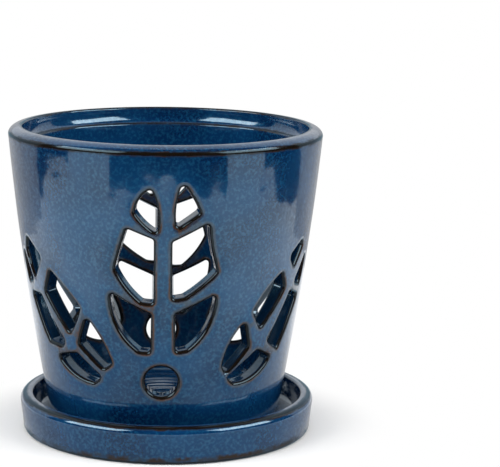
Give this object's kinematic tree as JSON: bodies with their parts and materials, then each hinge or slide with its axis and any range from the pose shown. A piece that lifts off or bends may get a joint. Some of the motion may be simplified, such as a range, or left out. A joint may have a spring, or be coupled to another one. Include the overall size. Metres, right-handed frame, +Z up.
{
  "type": "orchid pot",
  "caption": "Glazed orchid pot, tapered and pierced with leaf-shaped slots front and back, standing in a shallow round saucer.",
  "frame": {"origin": "on the pot's axis, at the level of the surface that the saucer stands on", "axes": "+Z up along the pot's axis, -Y towards the front fan of leaves, +X to the right of it"},
  "size_m": [0.133, 0.133, 0.131],
  "materials": {
    "pot_glaze": "glossy reactive blue glaze that breaks to brown on the edges",
    "saucer_glaze": "glossy reactive blue glaze that breaks to brown on the edges"
  },
  "bodies": {
    "saucer": {"saucer": "saucer_glaze"},
    "pot": {"pot": "pot_glaze"}
  },
  "joints": [
    {"name": "pot_lift", "type": "slide", "parent": "saucer", "child": "pot", "axis": [0, 0, 1], "range_m": [0, 0.04]}
  ]
}
